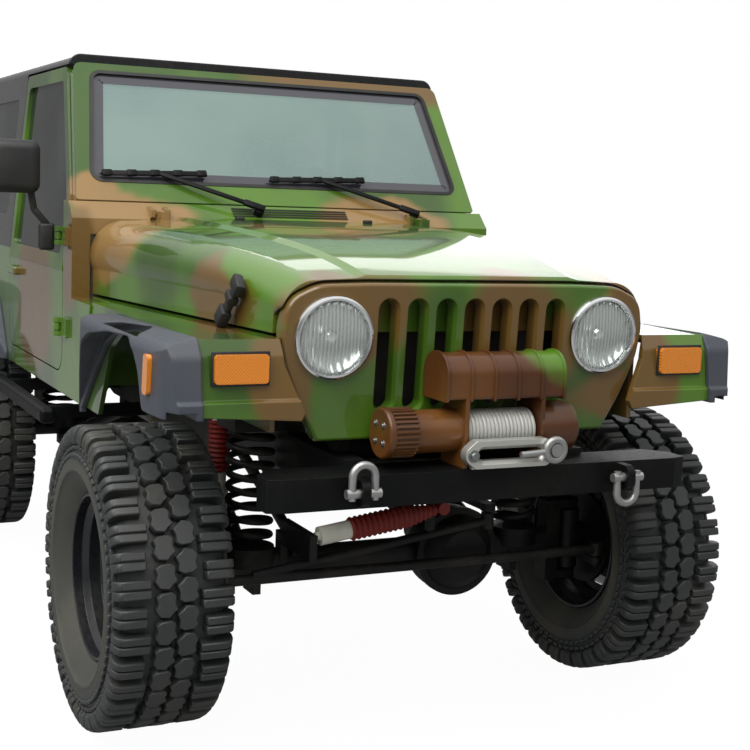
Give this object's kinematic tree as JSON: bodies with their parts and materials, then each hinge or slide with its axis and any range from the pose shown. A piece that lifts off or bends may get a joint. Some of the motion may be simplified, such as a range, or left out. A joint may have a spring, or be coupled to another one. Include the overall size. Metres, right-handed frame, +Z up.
{
  "type": "off-road vehicle",
  "caption": "Lifted short-wheelbase open-type off-road vehicle with hardtop, slotted grille, winch bumper and lugged mud tyres; doors, hood, tailgate, steering and wheels move",
  "frame": {"origin": "on the ground under the middle of the bounding box", "axes": "forward is -Y, the vehicle's left is +X, up is +Z"},
  "size_m": [1.915, 3.881, 1.893],
  "materials": {
    "body_paint": "gloss, sprayed camouflage",
    "hardtop_black": "gloss black",
    "trim_plastic": "satin grained",
    "glass": "clear, lightly tinted",
    "tyre_rubber": "matt, dusty",
    "wheel_black": "satin black",
    "chassis_black": "satin black, dusty",
    "bumper_black": "textured black powder coat",
    "cast_metal": "dull cast",
    "exhaust_steel": "dull",
    "tank_plastic": "matt",
    "damper_white": "gloss",
    "boot_red": "satin",
    "winch_paint": "satin, sprayed camouflage",
    "winch_line": "braided",
    "aluminium": "satin",
    "galvanised": "galvanised",
    "lamp_glass": "clear in a chrome ring",
    "lamp_amber": "moulded lens",
    "lamp_red": "moulded lens",
    "seat_fabric": "woven",
    "cabin_plastic": "grained",
    "bar_black": "satin, padded"
  },
  "bodies": {
    "chassis": {"body_tub": "body_paint", "grille": "body_paint", "front_fenders": "body_paint", "windshield_frame": "body_paint", "hardtop": "hardtop_black", "fender_flares": "trim_plastic", "wipers": "trim_plastic", "windshield_glass": "glass", "hardtop_glass": "glass", "frame": "chassis_black", "front_axle": "chassis_black", "rear_axle": "chassis_black", "suspension_links": "chassis_black", "coil_springs": "chassis_black", "steering_gear": "chassis_black", "drive_shafts": "chassis_black", "front_bumper": "bumper_black", "rear_bumper": "bumper_black", "rock_sliders": "bumper_black", "powertrain": "cast_metal", "radiator": "cast_metal", "exhaust": "exhaust_steel", "fuel_tank": "tank_plastic", "dampers": "damper_white", "winch_housing": "winch_paint", "winch_rope": "winch_line", "fairlead": "aluminium", "shackles": "galvanised", "tow_hook": "galvanised", "headlamps": "lamp_glass", "amber_lamps": "lamp_amber", "tail_lamps": "lamp_red", "seats": "seat_fabric", "dashboard": "cabin_plastic", "roll_bar": "bar_black"},
    "knuckle_left": {"knuckle_left": "chassis_black"},
    "knuckle_right": {"knuckle_right": "chassis_black"},
    "steering_links": {"steering_links": "chassis_black"},
    "pitman_arm": {"pitman_arm": "chassis_black"},
    "damper_rod": {"damper_rod": "boot_red"},
    "steering_wheel": {"steering_wheel": "cabin_plastic"},
    "wheel_front_left": {"wheel_front_left": "wheel_black", "tyre_front_left": "tyre_rubber"},
    "wheel_front_right": {"wheel_front_right": "wheel_black", "tyre_front_right": "tyre_rubber"},
    "wheel_rear_left": {"wheel_rear_left": "wheel_black", "tyre_rear_left": "tyre_rubber"},
    "wheel_rear_right": {"wheel_rear_right": "wheel_black", "tyre_rear_right": "tyre_rubber"},
    "door_left": {"door_left": "body_paint", "door_glass_left": "glass"},
    "door_right": {"door_right": "body_paint", "door_glass_right": "glass", "mirror_right": "trim_plastic"},
    "hood": {"hood": "body_paint"},
    "tailgate": {"tailgate": "body_paint", "spare_wheel": "wheel_black", "spare_tyre": "tyre_rubber"}
  },
  "joints": [
    {"name": "steer_left", "type": "hinge", "parent": "chassis", "child": "knuckle_left", "pos_m": [0.6725, -1.2755, 0.412], "axis": [0, 0, 1], "range_deg": [-30, 30]},
    {"name": "steer_right", "type": "hinge", "parent": "chassis", "child": "knuckle_right", "pos_m": [-0.6075, -1.2755, 0.412], "axis": [0, 0, 1], "range_deg": [-31, 31]},
    {"name": "links_turn", "type": "hinge", "parent": "knuckle_left", "child": "steering_links", "pos_m": [0.6725, -1.4355, 0.412], "axis": [0, 0, 1], "range_deg": [-31, 31]},
    {"name": "pitman_turn", "type": "hinge", "parent": "chassis", "child": "pitman_arm", "pos_m": [0.2825, -1.2755, 0.57], "axis": [0, 0, 1], "range_deg": [-31, 31]},
    {"name": "damper_slide", "type": "slide", "parent": "chassis", "child": "damper_rod", "axis": [0.9899, 0, 0.1414], "range_m": [-0.083, 0.083]},
    {"name": "steering_wheel_turn", "type": "hinge", "parent": "chassis", "child": "steering_wheel", "pos_m": [0.4325, -0.2535, 1.19], "axis": [0, 0.9404, 0.3401], "range_deg": [-425, 425]},
    {"name": "spin_front_left", "type": "hinge", "parent": "knuckle_left", "child": "wheel_front_left", "pos_m": [0.7995, -1.2755, 0.412], "axis": [1, 0, 0], "continuous": true},
    {"name": "spin_front_right", "type": "hinge", "parent": "knuckle_right", "child": "wheel_front_right", "pos_m": [-0.7345, -1.2755, 0.412], "axis": [1, 0, 0], "continuous": true},
    {"name": "spin_rear_left", "type": "hinge", "parent": "chassis", "child": "wheel_rear_left", "pos_m": [0.7995, 1.0975, 0.412], "axis": [1, 0, 0], "continuous": true},
    {"name": "spin_rear_right", "type": "hinge", "parent": "chassis", "child": "wheel_rear_right", "pos_m": [-0.7345, 1.0975, 0.412], "axis": [1, 0, 0], "continuous": true},
    {"name": "door_left_swing", "type": "hinge", "parent": "chassis", "child": "door_left", "pos_m": [0.8045, -0.3605, 1.14], "axis": [0, 0, -1], "range_deg": [0, 65]},
    {"name": "door_right_swing", "type": "hinge", "parent": "chassis", "child": "door_right", "pos_m": [-0.7395, -0.3605, 1.14], "axis": [0, 0, 1], "range_deg": [0, 65]},
    {"name": "hood_lift", "type": "hinge", "parent": "chassis", "child": "hood", "pos_m": [0.0325, -0.4785, 1.372], "axis": [-1, 0, 0], "range_deg": [0, 55]},
    {"name": "tailgate_swing", "type": "hinge", "parent": "chassis", "child": "tailgate", "pos_m": [-0.5275, 1.5925, 1.02], "axis": [0, 0, 1], "range_deg": [0, 90]}
  ],
  "couplings": [
    {"joint": "steer_right", "follows": "steer_left", "ratio": 1},
    {"joint": "links_turn", "follows": "steer_left", "ratio": -1},
    {"joint": "pitman_turn", "follows": "steer_left", "ratio": 1},
    {"joint": "damper_slide", "follows": "steer_left", "m_per_rad": 0.1543},
    {"joint": "steering_wheel_turn", "follows": "steer_left", "ratio": 14}
  ]
}
